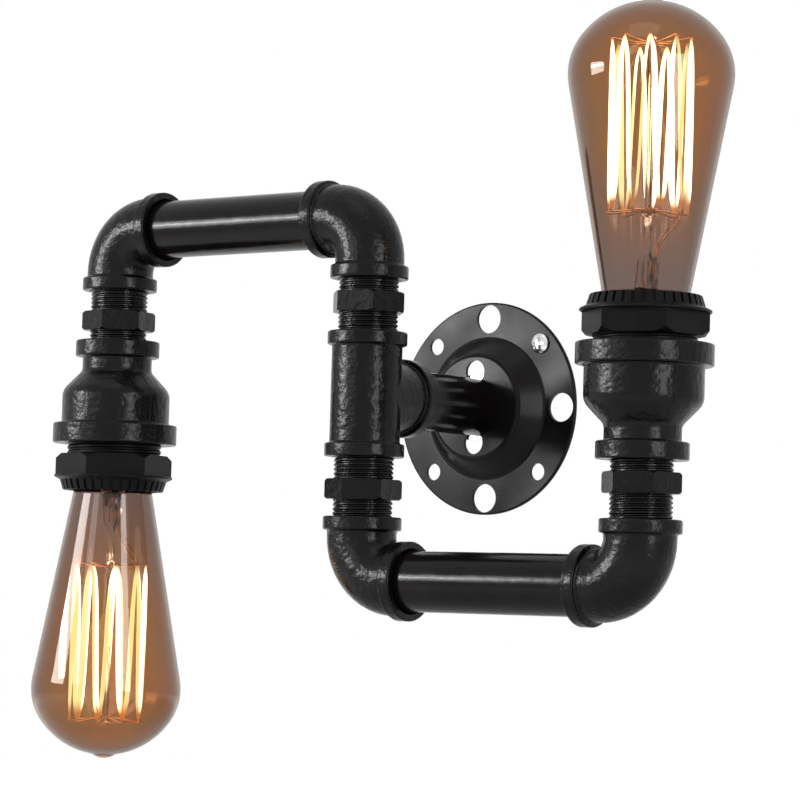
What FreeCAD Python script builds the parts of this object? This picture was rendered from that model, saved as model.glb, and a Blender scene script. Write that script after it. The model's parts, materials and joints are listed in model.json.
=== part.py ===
"""Industrial pipe wall light: two swivelling pipe arms on one wall flange, each with a squirrel-cage bulb.

Millimetres. The origin is the centre of the flange's back face, on the wall plane. +Y goes into the
wall, +Z is up and +X is to the right when facing the wall. The branch pipe comes out along -Y to a tee.
The upper arm turns on the tee's upper port, runs to -X and holds its bulb hanging down. The lower arm
is the same set of parts turned half a turn about the branch pipe, so its bulb stands up on +X.
"""
import os
from math import asin, atan2, cos, hypot, pi, radians, sin, sqrt, tan

import FreeCAD
import Part

# ---------------------------------------------------------------- driving dimensions
# Pipe and threads. Male threads are drawn at their major diameter.
PIPE_OD = 24.4
PIPE_WALL = 2.3
THREAD_GAP = 0.05  # radial clearance of a male thread in its port
PORT_CHAMFER = 1.1  # countersink at the mouth of each port

# Wall flange: a pressed steel dish with eight rim holes and two notches beside the pipe.
FLANGE_OD = 91.0
FLANGE_SHEET = 1.5
FLANGE_RISE = 9.0  # the plateau stands this far in front of the rim
STEP_FOOT_R = 30.0  # outer foot of the step up to the plateau
PLATEAU_R = 22.4
STEP_INNER_BEND = 1.5  # the sheet is bent to this radius inside each corner of the step
HOLE_CIRCLE_R = 38.4
LARGE_HOLE_R = 6.1
SMALL_HOLE_R = 3.6
NOTCH_AT_R = 15.2  # two round notches open into the pipe hole, above and below the pipe
NOTCH_R = 4.8
SCREW_HEAD_R = 4.2
SCREW_HEAD_H = 2.3
SCREW_RIM_H = 0.9
SCREW_SHANK_R = 3.0
SCREW_RECESS_L = 5.0
SCREW_RECESS_W = 1.1
SCREW_RECESS_DEEP = 1.3

# Branch pipe fixing behind the plateau.
LOCKNUT_FLATS = 27.4
LOCKNUT_H = 4.6
LOCKNUT_CHAMFER = 0.6
EARTH_TAG_T = 0.8
EARTH_TAG_R = 13.8
EARTH_TAG_REACH = 20.4
EARTH_TAG_W = 6.0
EARTH_TAG_HOLE_R = 2.1
BUSH_FLANGE_T = 1.0
BUSH_DEEP = 8.0

# Tee and elbows: banded cast fittings.
BRANCH_REACH = 86.2  # wall plane to the swivel axis
TEE_REACH = 25.5  # centre to port face, up and down
TEE_BRANCH_REACH = 28.0  # the same towards the wall
TEE_BAND_OD = 32.5
TEE_BODY_OD = 28.7
BAND_W = 5.5
BAND_EDGE = 0.8  # rounding of every band's edges
BAND_FILLET = 1.0  # fillet between a band and the body beside it
ELBOW_REACH = 25.7
ELBOW_BAND_OD = 32.0
ELBOW_BODY_OD = 28.3
ELBOW_BEND_R = 18.0
PORT_DEEP = 13.0
CORE_R = 10.2  # cored passage inside the cast fittings

# Hex nipples, with the bare thread that shows at each end.
NIPPLE_THREAD = 17.5
NIPPLE_HEX_H = 8.2
NIPPLE_HEX_FLATS = 27.3
NIPPLE_HEX_CHAMFER = 0.9
UPPER_BARE_AT_TEE = 7.8
UPPER_BARE_AT_ELBOW = 5.5
LOWER_BARE_AT_TEE = 9.0
LOWER_BARE_AT_ELBOW = 7.0
LEFT_BARE_AT_ELBOW = 9.1
LEFT_BARE_AT_REDUCER = 4.4
RIGHT_BARE_AT_ELBOW = 9.7
RIGHT_BARE_AT_REDUCER = 4.6

# Where each thread happened to tighten: the angle of a corner on each hexagon, in degrees.
UPPER_HEX_TURN = 14.0
LOWER_HEX_TURN = 26.0
LEFT_HEX_TURN = 15.0
RIGHT_HEX_TURN = 19.0
LEFT_HOLDER_TURN = 16.0
RIGHT_HOLDER_TURN = 21.0

# Arm pipes, and how far each is screwed into its elbows.
ARM_PIPE_LENGTH = 107.0
UPPER_PIPE_GRIP = 11.1
LOWER_PIPE_GRIP = 12.5
THREAD_RELIEF = 0.6  # chamfer on the end of every male thread

# Reducer from the pipe thread to the lampholder thread.
REDUCER_LENGTH = 44.6
REDUCER_SMALL_BAND_OD = 36.0
REDUCER_SMALL_BAND_W = 7.0
REDUCER_SMALL_BODY_OD = 29.8
REDUCER_SMALL_BODY_L = 6.2
REDUCER_CONE_L = 8.6
REDUCER_BARREL_OD = 46.2
REDUCER_LARGE_BAND_OD = 53.2
REDUCER_LARGE_BAND_W = 8.6
REDUCER_WALL = 3.0
REDUCER_NECK_FILLET = 3.5
REDUCER_SHOULDER_R = 7.0

# Lampholder: a threaded hex body with a ribbed ring screwed on its mouth.
HOLDER_THREAD_OD = 40.4
HOLDER_THREAD_L = 17.0
LEFT_HOLDER_BARE = 4.6
RIGHT_HOLDER_BARE = 2.8
HOLDER_HEX_FLATS = 43.2
HOLDER_HEX_H = 9.0
HOLDER_HEX_CHAMFER = 2.0
HOLDER_BORE_R = 17.4
RING_LIP_R = 25.4
RING_LIP_EDGE = 0.9
RING_LIP_CONE = 1.3
RING_FOOT_R = 22.9
RING_TOP_R = 21.5
RING_H = 6.6
RING_MOUTH_R = 18.9
RING_RIBS = 36
RIB_GROOVE_W = 1.3
RIB_GROOVE_DEEP = 0.7
RING_SLEEVE_OD = 37.6
RING_SLEEVE_L = 4.0
RING_SLEEVE_WALL = 1.1
RING_EDGE = 0.4  # rounding of the ring's lip and mouth

# Inside the lampholder, measured from the mouth.
BLOCK_FLOOR_T = 5.0
BLOCK_FLANGE_T = 1.6
SHELL_INNER_R = 13.6
SHELL_T = 0.5
SHELL_TOP_DEPTH = 10.6
SHELL_FLOOR_HOLE_R = 5.5
TONGUE_T = 0.5
TONGUE_W = 5.0
TONGUE_RISE = 2.0
TONGUE_FOOT_L = 1.5
TERMINAL_OFFSET = 10.0
TERMINAL_R = 2.2
TERMINAL_H = 1.8
TERMINAL_SLOT_W = 0.6
TERMINAL_SLOT_DEEP = 0.9
TERMINAL_SHANK_R = 1.2

# Bulb. Heights are measured outwards from the lampholder's mouth.
BULB_D = 64.0
BULB_WIDEST_AT = 85.0
BULB_TIP_AT = 113.2
BULB_NIB_R = 5.0
BULB_NIB_H = 1.3
BULB_NECK_R = 16.9
BULB_NECK_AT = 0.5
BULB_SHOULDER_R = 26.5  # arc that turns the neck's cone into the widest ring
BULB_DOME_SIDE_R = 24.0  # arc from the widest ring towards the crown
GLASS_T = 1.0
CAP_R = 13.1
CAP_T = 0.4
CAP_SKIRT_DEPTH = 6.6
GLASS_CUFF_L = 4.0
CAP_THREAD_H = 20.4
CAP_CONE_H = 3.2
CAP_TURN_IN = 1.6  # the cap's lower end is rolled in this far over the insulator
CAP_CONTACT_R = 4.6
CAP_CONTACT_H = 1.4
CAP_CONTACT_RIM_H = 0.5
RUN_CLEARANCE = 0.3  # bulb to lampholder

# Mount and squirrel-cage filament.
STEM_FOOT_AT = -9.0
STEM_WAIST_R = 4.2
STEM_WAIST_AT = 2.5
STEM_PINCH_AT = 11.0
STEM_PINCH_R = 5.2
STEM_ROD_R = 1.5
STEM_BUTTON_R = 2.6
STEM_BUTTON_H = 3.0
STEM_BUTTON_EDGE = 0.6
STEM_LIP_H = 1.2
CAGE_LOW_AT = 32.0
CAGE_TOP_AT = 98.0
CAGE_R = 15.0
CAGE_STRANDS = 14
FILAMENT_W = 0.5
SUPPORT_W = 0.5

# Two supply cables, one to each lampholder.
CABLE_R = 2.4
CABLE_SPLIT = 0.5  # gap between the two cables in the branch pipe
CABLE_TURN_R = 18.0

# ---------------------------------------------------------------- derived sizes
X, Y, Z = FreeCAD.Vector(1, 0, 0), FreeCAD.Vector(0, 1, 0), FreeCAD.Vector(0, 0, 1)
ORIGIN = FreeCAD.Vector(0, 0, 0)
PIPE_R = PIPE_OD / 2
PORT_R = PIPE_R + THREAD_GAP
PIPE_BORE_R = PIPE_R - PIPE_WALL
PLATEAU_FRONT = FLANGE_SHEET + FLANGE_RISE
CABLE_OFFSET = CABLE_R + CABLE_SPLIT / 2
CONTACT_DEPTH = CAP_SKIRT_DEPTH + CAP_THREAD_H + CAP_CONE_H + CAP_CONTACT_H


def vec(x, y, z):
    """A point or a direction."""
    return FreeCAD.Vector(x, y, z)


# ---------------------------------------------------------------- shape helpers
def rounded_corner(before, corner, after, radius):
    """Where an arc of that radius leaves one stretch, its middle, and where it joins the next one."""
    arrive, leave = (corner - before).normalize(), (after - corner).normalize()
    setback = radius * tan(arrive.getAngle(leave) / 2)
    middle = corner + (leave - arrive).normalize() * (hypot(radius, setback) - radius)
    return corner - arrive * setback, middle, corner + leave * setback


class Outline:
    """Half of a turned section, drawn as (radius, height) and spun about Z."""

    def __init__(self, radius, height):
        self.first = self.last = self.start = vec(radius, 0, height)
        self.edges = []
        self.bend = 0.0

    def line(self, radius, height, bend=0.0):
        """A straight stretch to a corner, which the stretch after it rounds off to the radius bend."""
        point, start = vec(radius, 0, height), self.last
        if self.bend:
            leave, middle, start = rounded_corner(self.start, self.last, point, self.bend)
            self.edges.pop()
            self.stretch(self.start, leave)
            self.edges.append(Part.Arc(leave, middle, start).toShape())
        self.stretch(start, point)
        self.start, self.last, self.bend = start, point, bend
        return self

    def stretch(self, start, end):
        """A straight edge, unless it has no length."""
        if (end - start).Length > 1e-6:
            self.edges.append(Part.LineSegment(start, end).toShape())

    def arc(self, mid, end):
        """A circular arc through a middle point."""
        middle, point = vec(mid[0], 0, mid[1]), vec(end[0], 0, end[1])
        self.edges.append(Part.Arc(self.last, middle, point).toShape())
        self.last = point
        return self

    def dome(self, height):
        """A shallow round cap from the last point to the axis, centred on the axis."""
        rise = height - self.last.z
        ball_r = (self.last.x ** 2 + rise ** 2) / (2 * rise)
        half = asin(self.last.x / ball_r) / 2
        return self.arc((ball_r * sin(half), height - ball_r * (1 - cos(half))), (0, height))

    def spin(self, angle=360):
        """Closes the section and turns it about Z into a solid."""
        self.line(self.first.x, self.first.z)
        face = Part.Face(Part.Wire(self.edges))
        return face.revolve(ORIGIN, Z, angle)


def ring(outer, inner, low, high):
    """A plain tube, or a disc where inner is nought."""
    return Outline(inner, low).line(outer, low).line(outer, high).line(inner, high).spin()


def hex_prism(flats, low, high, turn, chamfer, both=True):
    """A hexagon with a corner at the angle turn, its corners turned off at 45 degrees by chamfer."""
    corner = flats / sqrt(3)
    angles = [radians(turn + 60 * k) for k in range(7)]
    points = [vec(corner * cos(angle), corner * sin(angle), low) for angle in angles]
    prism = Part.Face(Part.makePolygon(points)).extrude(vec(0, 0, high - low))
    turned = Outline(0, low).line(corner - chamfer, low).line(corner, low + chamfer)
    if both:
        turned.line(corner, high - chamfer).line(corner - chamfer, high)
    else:
        turned.line(corner, high)
    return prism.common(turned.line(0, high).spin())


def facing(shape, origin, direction):
    """Moves a shape drawn along +Z so that it starts at origin and looks along direction."""
    moved = shape.copy()
    moved.Placement = FreeCAD.Placement(origin, FreeCAD.Rotation(Z, direction)).multiply(moved.Placement)
    return moved


def half_turn(shape):
    """The same shape turned half a turn about the branch pipe."""
    return shape.rotated(ORIGIN, Y, 180)


def tube_path(points, radius, bend_r):
    """A round cable through points: straight runs joined by tangent arcs of one radius."""
    edges = []
    last = points[0]
    for before, corner, after in zip(points, points[1:], points[2:]):
        start, middle, end = rounded_corner(before, corner, after, bend_r)
        edges += [Part.LineSegment(last, start).toShape(), Part.Arc(start, middle, end).toShape()]
        last = end
    edges.append(Part.LineSegment(last, points[-1]).toShape())
    path = Part.Wire(edges)
    disc = Part.Face(Part.Wire(Part.makeCircle(radius, points[0], points[1] - points[0])))
    solids = [sweep_one(edge, radius) for edge in edges]
    cable = solids[0].fuse(solids[1:]).removeSplitter()
    print("cable %.0f mm long, volume share %.4f" % (path.Length, cable.Volume / (disc.Area * path.Length)))
    return cable


def sweep_one(edge, radius):
    """The stretch of cable along one straight or round edge."""
    start = edge.valueAt(edge.FirstParameter)
    along = edge.tangentAt(edge.FirstParameter)
    disc = Part.Face(Part.Wire(Part.makeCircle(radius, start, along)))
    if isinstance(edge.Curve, Part.Circle):
        turn = (edge.LastParameter - edge.FirstParameter) * 180 / pi
        return disc.revolve(edge.Curve.Center, edge.Curve.Axis, turn)
    return disc.extrude(edge.valueAt(edge.LastParameter) - start)


# ---------------------------------------------------------------- banded fittings
def band(od, body_od, reach):
    """The raised band at a port, drawn along +Z with the port face at reach."""
    low = reach - BAND_W
    body_r, band_r = body_od / 2, od / 2
    return (Outline(0, low - BAND_FILLET).line(body_r, low - BAND_FILLET).line(body_r, low, BAND_FILLET)
            .line(band_r, low, BAND_EDGE).line(band_r, reach, BAND_EDGE).line(0, reach).spin())


def port_bore(reach):
    """The threaded hole of a port with its countersunk mouth, drawn along +Z."""
    mouth_r = PORT_R + PORT_CHAMFER
    return (Outline(0, reach - PORT_DEEP).line(PORT_R, reach - PORT_DEEP).line(PORT_R, reach - PORT_CHAMFER)
            .line(mouth_r, reach).line(0, reach).spin())


def elbow():
    """A 90 degree banded elbow about its own centre, with ports facing +X and -Z."""
    down, side = -Z, X
    body_r = ELBOW_BODY_OD / 2
    body_end = ELBOW_REACH - BAND_W - BAND_FILLET

    def bend(radius):
        """The curved stretch between the two ports."""
        disc = Part.Face(Part.Wire(Part.makeCircle(radius, vec(0, 0, -ELBOW_BEND_R), Z)))
        return disc.revolve(vec(ELBOW_BEND_R, 0, -ELBOW_BEND_R), Y, 90)

    solids = [bend(body_r)]
    holes = [bend(CORE_R)]
    for direction in (down, side):
        solids.append(facing(ring(body_r, 0, ELBOW_BEND_R, body_end), ORIGIN, direction))
        solids.append(facing(band(ELBOW_BAND_OD, ELBOW_BODY_OD, ELBOW_REACH), ORIGIN, direction))
        holes.append(facing(port_bore(ELBOW_REACH), ORIGIN, direction))
        holes.append(facing(ring(CORE_R, 0, ELBOW_BEND_R - 1, ELBOW_REACH), ORIGIN, direction))
    return solids[0].fuse(solids[1:]).cut(holes).removeSplitter()


def tee():
    """The banded tee on the swivel axis: two ports up and down, one towards the wall."""
    body_r = TEE_BODY_OD / 2
    body_end = TEE_REACH - BAND_W - BAND_FILLET
    run = ring(body_r, 0, -body_end, body_end)
    branch = ring(body_r, 0, 0, TEE_BRANCH_REACH - BAND_W - BAND_FILLET)
    solids = [facing(branch, ORIGIN, Y)]
    holes = [ring(CORE_R, 0, -TEE_REACH, TEE_REACH), facing(ring(CORE_R, 0, 0, TEE_REACH), ORIGIN, Y)]
    for direction, reach in ((Z, TEE_REACH), (-Z, TEE_REACH), (Y, TEE_BRANCH_REACH)):
        solids.append(facing(band(TEE_BAND_OD, TEE_BODY_OD, reach), ORIGIN, direction))
        holes.append(facing(port_bore(reach), ORIGIN, direction))
    fitting = run.fuse(solids).cut(holes).removeSplitter()
    fitting.translate(vec(0, -BRANCH_REACH, 0))
    return fitting


# ---------------------------------------------------------------- wall flange and branch pipe
def wall_flange():
    """The pressed dish, with its plateau, eight rim holes, two notches and the pipe hole."""
    sheet, rise = FLANGE_SHEET, PLATEAU_FRONT
    slope = hypot(FLANGE_RISE, STEP_FOOT_R - PLATEAU_R)
    inset = sheet * slope / FLANGE_RISE - sheet * (STEP_FOOT_R - PLATEAU_R) / FLANGE_RISE
    outer_bend = STEP_INNER_BEND + sheet
    dish = (Outline(PORT_R, rise).line(PLATEAU_R, rise, outer_bend).line(STEP_FOOT_R, sheet, STEP_INNER_BEND)
            .line(FLANGE_OD / 2, sheet, sheet / 2).line(FLANGE_OD / 2, 0)
            .line(STEP_FOOT_R - inset, 0, outer_bend).line(PLATEAU_R - inset, rise - sheet, STEP_INNER_BEND)
            .line(PORT_R, rise - sheet).spin())
    deep = rise + sheet
    cuts = []
    for k in range(4):
        for turn, radius in ((90 * k, LARGE_HOLE_R), (90 * k + 45, SMALL_HOLE_R)):
            angle = radians(turn)
            hole = ring(radius, 0, -sheet, deep)
            hole.translate(vec(HOLE_CIRCLE_R * cos(angle), HOLE_CIRCLE_R * sin(angle), 0))
            cuts.append(hole)
    for side in (1, -1):
        notch = ring(NOTCH_R, 0, 0, deep)
        notch.translate(vec(0, side * NOTCH_AT_R, 0))
        cuts.append(notch)
    return facing(dish.cut(cuts).removeSplitter(), ORIGIN, -Y)


def flange_screw():
    """The pan-head cross-recess screw in the upper right rim hole; its end is flush with the back."""
    head_low, head_top = FLANGE_SHEET, FLANGE_SHEET + SCREW_HEAD_H
    screw = (Outline(0, 0).line(SCREW_SHANK_R, 0).line(SCREW_SHANK_R, head_low).line(SCREW_HEAD_R, head_low)
             .line(SCREW_HEAD_R, head_low + SCREW_RIM_H).dome(head_top).spin())
    for along, across in ((SCREW_RECESS_L, SCREW_RECESS_W), (SCREW_RECESS_W, SCREW_RECESS_L)):
        recess = Part.makeBox(along, across, SCREW_HEAD_H)
        recess.translate(vec(-along / 2, -across / 2, head_top - SCREW_RECESS_DEEP))
        screw = screw.cut(recess)
    place = HOLE_CIRCLE_R * cos(radians(45))
    return facing(screw, vec(place, 0, place), -Y)


def pipe_length(low, high):
    """A length of pipe along +Z, with both ends relieved for their threads."""
    return (Outline(PIPE_BORE_R, low).line(PIPE_R - THREAD_RELIEF, low).line(PIPE_R, low + THREAD_RELIEF)
            .line(PIPE_R, high - THREAD_RELIEF).line(PIPE_R - THREAD_RELIEF, high)
            .line(PIPE_BORE_R, high).spin())


def branch_nipple():
    """The pipe from the tee to the flange: it passes the plateau and takes the locknut behind it."""
    low = PLATEAU_FRONT - FLANGE_SHEET - EARTH_TAG_T - LOCKNUT_H - THREAD_RELIEF
    high = BRANCH_REACH - TEE_BRANCH_REACH + PORT_DEEP
    return facing(pipe_length(low, high), ORIGIN, -Y)


def earth_tag():
    """The ring tag of the earth connection, clamped between the plateau and the locknut."""
    high = PLATEAU_FRONT - FLANGE_SHEET
    low = high - EARTH_TAG_T
    tail = Part.makeBox(EARTH_TAG_REACH, EARTH_TAG_W, EARTH_TAG_T)
    tail.translate(vec(0, -EARTH_TAG_W / 2, low))
    hole_at = EARTH_TAG_REACH - EARTH_TAG_W / 2
    lug_hole = ring(EARTH_TAG_HOLE_R, 0, low - 1, high + 1)
    lug_hole.translate(vec(hole_at, 0, 0))
    tag = ring(EARTH_TAG_R, 0, low, high).fuse(tail)
    tag = tag.cut([ring(PORT_R, 0, low - 1, high + 1), lug_hole])
    return facing(tag.removeSplitter(), ORIGIN, -Y)


def branch_locknut():
    """The thin nut that pulls the branch pipe to the plateau."""
    high = PLATEAU_FRONT - FLANGE_SHEET - EARTH_TAG_T
    low = high - LOCKNUT_H
    nut = hex_prism(LOCKNUT_FLATS, low, high, turn=0, chamfer=LOCKNUT_CHAMFER)
    return facing(nut.cut(ring(PORT_R, 0, low - 1, high + 1)), ORIGIN, -Y)


def cable_bush():
    """The plastic bush that closes the pipe's back end round the two cables."""
    top = PLATEAU_FRONT - FLANGE_SHEET - EARTH_TAG_T - LOCKNUT_H - THREAD_RELIEF
    bush = (Outline(0, top - BUSH_FLANGE_T).line(PIPE_R - THREAD_RELIEF, top - BUSH_FLANGE_T)
            .line(PIPE_R - THREAD_RELIEF, top).line(PIPE_BORE_R - THREAD_GAP, top)
            .line(PIPE_BORE_R - THREAD_GAP, top + BUSH_DEEP).line(0, top + BUSH_DEEP).spin())
    holes = []
    for side in (1, -1):
        hole = ring(CABLE_R + THREAD_GAP, 0, top - BUSH_FLANGE_T - 1, top + BUSH_DEEP + 1)
        hole.translate(vec(0, side * CABLE_OFFSET, 0))
        holes.append(hole)
    return facing(bush.cut(holes), ORIGIN, -Y)


def supply_cables():
    """The two cables in the branch pipe; each turns at the tee onto the swivel axis."""
    top = tube_path([vec(0, 0, CABLE_OFFSET), vec(0, -BRANCH_REACH, CABLE_OFFSET),
                     vec(0, -BRANCH_REACH, TEE_REACH)], CABLE_R, CABLE_TURN_R)
    return Part.makeCompound([top, half_turn(top)])


# ---------------------------------------------------------------- one arm, drawn as the upper left one
def hex_nipple(bare_low, bare_high, turn):
    """A hex nipple along +Z; nought is the port face below it, and bare thread shows at both ends."""
    low = bare_low - NIPPLE_THREAD
    hex_low, hex_high = bare_low, bare_low + NIPPLE_HEX_H
    high = hex_high + NIPPLE_THREAD
    blank = (Outline(0, low).line(PIPE_R - THREAD_RELIEF, low).line(PIPE_R, low + THREAD_RELIEF)
             .line(PIPE_R, high - THREAD_RELIEF).line(PIPE_R - THREAD_RELIEF, high).line(0, high).spin())
    nipple = blank.fuse(hex_prism(NIPPLE_HEX_FLATS, hex_low, hex_high, turn, NIPPLE_HEX_CHAMFER))
    nipple = nipple.cut(ring(PIPE_BORE_R, 0, low - 1, high + 1)).removeSplitter()
    return nipple, hex_high + bare_high


def reducer():
    """The reducing socket along +Z from its small face, bored for both threads and cored between."""
    cone_low = REDUCER_SMALL_BAND_W + REDUCER_SMALL_BODY_L
    cone_high = cone_low + REDUCER_CONE_L
    band_low = REDUCER_LENGTH - REDUCER_LARGE_BAND_W
    small_r, large_r = REDUCER_SMALL_BAND_OD / 2, REDUCER_LARGE_BAND_OD / 2
    neck_r, barrel_r = REDUCER_SMALL_BODY_OD / 2, REDUCER_BARREL_OD / 2
    thread_r = HOLDER_THREAD_OD / 2 + THREAD_GAP
    core_r = min(barrel_r - REDUCER_WALL, thread_r)
    outside = (Outline(0, 0).line(small_r, 0, BAND_EDGE).line(small_r, REDUCER_SMALL_BAND_W, BAND_EDGE)
               .line(neck_r, REDUCER_SMALL_BAND_W, BAND_FILLET).line(neck_r, cone_low, REDUCER_NECK_FILLET)
               .line(barrel_r, cone_high, REDUCER_SHOULDER_R).line(barrel_r, band_low, BAND_FILLET)
               .line(large_r, band_low, BAND_EDGE).line(large_r, REDUCER_LENGTH, BAND_EDGE)
               .line(0, REDUCER_LENGTH).spin())
    inside = (Outline(0, 0).line(PORT_R + PORT_CHAMFER, 0).line(PORT_R, PORT_CHAMFER)
              .line(PORT_R, cone_low + REDUCER_WALL).line(core_r, cone_high + REDUCER_WALL)
              .line(core_r, band_low - HOLDER_THREAD_L / 2).line(thread_r, band_low - HOLDER_THREAD_L / 2)
              .line(thread_r, REDUCER_LENGTH - PORT_CHAMFER).line(thread_r + PORT_CHAMFER, REDUCER_LENGTH)
              .line(0, REDUCER_LENGTH).spin())
    return outside.cut(inside)


# Everything below is drawn along +Z with nought at the lampholder's mouth and the bulb above it.
HEX_TOP = -RING_H
HEX_LOW = HEX_TOP - HOLDER_HEX_H
THREAD_LOW = HEX_LOW - HOLDER_THREAD_L
SLEEVE_LOW = HEX_TOP - RING_SLEEVE_L
SEAT_LOW = SLEEVE_LOW - BLOCK_FLANGE_T
SEAT_R = RING_SLEEVE_OD / 2
BLOCK_R = HOLDER_BORE_R - THREAD_GAP
BLOCK_FLOOR = -CONTACT_DEPTH - RUN_CLEARANCE - TONGUE_T - TONGUE_RISE
BLOCK_LOW = BLOCK_FLOOR - BLOCK_FLOOR_T
SHELL_OUTER_R = SHELL_INNER_R + SHELL_T


def lampholder_body(turn):
    """The moulded body: male thread, hex collar and the stepped bore for the contact block."""
    thread_r = HOLDER_THREAD_OD / 2
    spigot = (Outline(0, THREAD_LOW).line(thread_r - THREAD_RELIEF, THREAD_LOW)
              .line(thread_r, THREAD_LOW + THREAD_RELIEF).line(thread_r, HEX_TOP).line(0, HEX_TOP).spin())
    collar = hex_prism(HOLDER_HEX_FLATS, HEX_LOW, HEX_TOP, turn, HOLDER_HEX_CHAMFER, both=False)
    bore = (Outline(0, THREAD_LOW - 1).line(HOLDER_BORE_R, THREAD_LOW - 1).line(HOLDER_BORE_R, SEAT_LOW)
            .line(SEAT_R + THREAD_GAP, SEAT_LOW).line(SEAT_R + THREAD_GAP, HEX_TOP + 1)
            .line(0, HEX_TOP + 1).spin())
    return spigot.fuse(collar).cut(bore).removeSplitter()


def lampholder_ring():
    """The mouth ring: a flared lip, a ribbed taper and a sleeve that clamps the contact block."""
    blank = (Outline(RING_MOUTH_R, 0).line(RING_TOP_R, 0, RIB_GROOVE_DEEP)
             .line(RING_FOOT_R, HEX_TOP + RING_LIP_EDGE + RING_LIP_CONE, RING_EDGE)
             .line(RING_LIP_R, HEX_TOP + RING_LIP_EDGE, RING_EDGE).line(RING_LIP_R, HEX_TOP, RING_EDGE)
             .line(SEAT_R, HEX_TOP).line(SEAT_R, SLEEVE_LOW).line(SEAT_R - RING_SLEEVE_WALL, SLEEVE_LOW)
             .line(SEAT_R - RING_SLEEVE_WALL, HEX_TOP).spin())
    lean = atan2(RING_FOOT_R - RING_TOP_R, RING_H - RING_LIP_EDGE - RING_LIP_CONE - RIB_GROOVE_DEEP)
    foot = HEX_TOP + RING_LIP_EDGE + RING_LIP_CONE
    cutter = Part.makeBox(RIB_GROOVE_W, 2 * RIB_GROOVE_DEEP, RING_H)
    cutter.translate(vec(-RIB_GROOVE_W / 2, -RIB_GROOVE_DEEP, 0))
    cutter.rotate(ORIGIN, X, lean * 180 / pi)
    cutter.translate(vec(0, RING_FOOT_R, foot))
    grooves = [cutter.rotated(ORIGIN, Z, 360 * k / RING_RIBS) for k in range(RING_RIBS)]
    return blank.cut(grooves)


def contact_block():
    """The ceramic block: a cup that carries the screw shell, with a flange under the mouth ring."""
    seat_r = SHELL_OUTER_R + THREAD_GAP
    block = (Outline(0, BLOCK_LOW).line(BLOCK_R, BLOCK_LOW).line(BLOCK_R, SEAT_LOW).line(SEAT_R, SEAT_LOW)
             .line(SEAT_R, SLEEVE_LOW).line(seat_r, SLEEVE_LOW).line(seat_r, BLOCK_FLOOR)
             .line(0, BLOCK_FLOOR).spin())
    holes = []
    for side in (1, -1):
        hole = ring(TERMINAL_SHANK_R, 0, BLOCK_LOW - 1, BLOCK_LOW + BLOCK_FLOOR_T / 2)
        hole.translate(vec(0, side * TERMINAL_OFFSET, 0))
        holes.append(hole)
    return block.cut(holes)


def screw_shell():
    """The brass screw shell, drawn at its smallest diameter, with a turned-in floor."""
    top, floor = -SHELL_TOP_DEPTH, BLOCK_FLOOR + SHELL_T
    return (Outline(SHELL_FLOOR_HOLE_R, BLOCK_FLOOR).line(SHELL_OUTER_R, BLOCK_FLOOR)
            .line(SHELL_OUTER_R, top).line(SHELL_INNER_R, top).line(SHELL_INNER_R, floor)
            .line(SHELL_FLOOR_HOLE_R, floor).spin())


def centre_contact():
    """The sprung brass tongue that meets the bulb's contact."""
    half = TONGUE_W / 2
    heel = -half - TONGUE_FOOT_L
    middle = [(heel, 0), (-half, 0), (0, TONGUE_RISE), (half, TONGUE_RISE)]
    outline = middle + [(x, rise + TONGUE_T) for x, rise in reversed(middle)] + middle[:1]
    side = Part.makePolygon([vec(x, 0, BLOCK_FLOOR + rise) for x, rise in outline])
    tongue = Part.Face(side).extrude(vec(0, TONGUE_W, 0))
    tongue.translate(vec(0, -half, 0))
    return tongue


def terminal_screws():
    """The two terminal screws under the contact block."""
    screws = []
    for side in (1, -1):
        head = ring(TERMINAL_R, 0, BLOCK_LOW - TERMINAL_H, BLOCK_LOW)
        shank = ring(TERMINAL_SHANK_R - THREAD_GAP, 0, BLOCK_LOW, BLOCK_LOW + BLOCK_FLOOR_T / 2 - THREAD_GAP)
        slot = Part.makeBox(2 * TERMINAL_R, TERMINAL_SLOT_W, TERMINAL_SLOT_DEEP)
        slot.translate(vec(-TERMINAL_R, -TERMINAL_SLOT_W / 2, BLOCK_LOW - TERMINAL_H))
        screw = head.fuse(shank).cut(slot).removeSplitter()
        screw.translate(vec(0, side * TERMINAL_OFFSET, 0))
        screws.append(screw)
    return Part.makeCompound(screws)


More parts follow.
